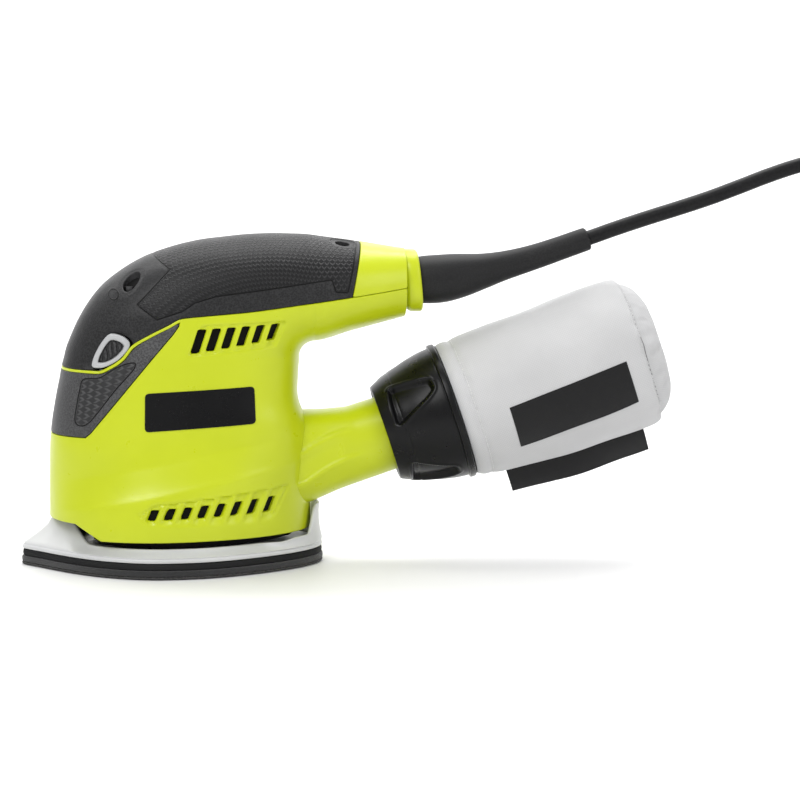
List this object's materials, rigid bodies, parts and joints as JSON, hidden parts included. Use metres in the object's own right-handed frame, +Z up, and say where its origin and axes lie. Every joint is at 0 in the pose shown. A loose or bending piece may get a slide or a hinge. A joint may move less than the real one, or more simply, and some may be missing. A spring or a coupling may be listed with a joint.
{
  "type": "detail mouse sander",
  "caption": "Corded palm detail sander with a pointed orbiting pad, D-shaped palm grip, side-push switch, dust port with cloth bag and mains lead.",
  "frame": {"origin": "centre of the sanding face, under the motor's axis", "axes": "+Z up, out of the pad's back; -X towards the pointed nose, +X towards the tail with the lead and the bag; -Y the side with the O mark of the switch"},
  "size_m": [0.5081, 0.1537, 0.191],
  "materials": {
    "green_plastic": "satin moulded lime-green plastic",
    "dark_overmold": "charcoal soft-touch moulding with a fine grain",
    "black_plastic": "black moulded plastic",
    "black_rubber": "matt black rubber",
    "light_grey_plastic": "light grey moulded plastic",
    "steel": "plain steel",
    "copper": "enamelled copper wire and copper segments",
    "laminated_iron": "stacked iron laminations",
    "bag_cloth": "white-grey woven dust cloth",
    "hook_foam": "black hook-and-loop foam",
    "abrasive": "black abrasive paper",
    "brass": "brass",
    "carbon": "carbon",
    "capacitor_film": "dipped film capacitor",
    "wire_black": "black insulated wire",
    "wire_white": "white insulated wire"
  },
  "bodies": {
    "housing": {"main_housing": "green_plastic", "top_cover": "green_plastic", "grip_overmold": "dark_overmold", "nose_bumper": "dark_overmold", "side_badge_right": "black_plastic", "side_badge_left": "black_plastic", "base_plate": "black_plastic", "motor_bracket": "black_plastic", "switch_body": "black_plastic", "cord_clamp": "black_plastic", "dust_seal": "black_rubber", "flex_leg_1": "black_rubber", "flex_leg_2": "black_rubber", "flex_leg_3": "black_rubber", "flex_leg_4": "black_rubber", "strain_relief": "black_rubber", "cord_tube": "black_rubber", "cord_coil": "black_rubber", "cord_tail": "black_rubber", "plug_body": "black_rubber", "cover_screw_front_right": "steel", "cover_screw_front_left": "steel", "cover_screw_rear": "steel", "base_screw_1": "steel", "base_screw_2": "steel", "base_screw_3": "steel", "lower_bearing": "steel", "upper_bearing": "steel", "brush_spring_left": "steel", "brush_spring_right": "steel", "clamp_screw_1": "steel", "clamp_screw_2": "steel", "field_coil_right": "copper", "field_coil_left": "copper", "stator_core": "laminated_iron", "brush_holder_right": "brass", "brush_holder_left": "brass", "plug_blade_1": "brass", "plug_blade_2": "brass", "carbon_brush_right": "carbon", "carbon_brush_left": "carbon", "capacitor": "capacitor_film", "wire_live": "wire_black", "wire_neutral": "wire_white"},
    "rotor": {"motor_shaft": "steel", "armature_core": "laminated_iron", "armature_winding": "copper", "commutator": "copper", "cooling_fan": "black_plastic", "eccentric_counterweight": "steel"},
    "pad": {"platen": "light_grey_plastic", "eccentric_bearing": "steel", "backing_pad": "black_rubber", "hook_foam_pad": "hook_foam", "sanding_sheet": "abrasive"},
    "switch": {"switch_slider": "light_grey_plastic", "switch_grip_right": "dark_overmold", "switch_grip_left": "dark_overmold"},
    "dust_bag_unit": {"bag_collar": "black_plastic", "dust_bag": "bag_cloth"}
  },
  "joints": [
    {"name": "motor_spin", "type": "hinge", "parent": "housing", "child": "rotor", "pos_m": [0, 0, 0.06], "axis": [0, 0, 1], "continuous": true},
    {"name": "pad_orbit", "type": "hinge", "parent": "rotor", "child": "pad", "pos_m": [0.0008, 0, 0.015], "axis": [0, 0, 1], "continuous": true},
    {"name": "switch_slide", "type": "slide", "parent": "housing", "child": "switch", "axis": [0, 1, 0], "range_m": [-0.005, 0]},
    {"name": "bag_pull", "type": "slide", "parent": "housing", "child": "dust_bag_unit", "axis": [0.95, 0, 0.3123], "range_m": [0, 0.06]}
  ],
  "couplings": [
    {"joint": "pad_orbit", "follows": "motor_spin", "ratio": -1}
  ]
}
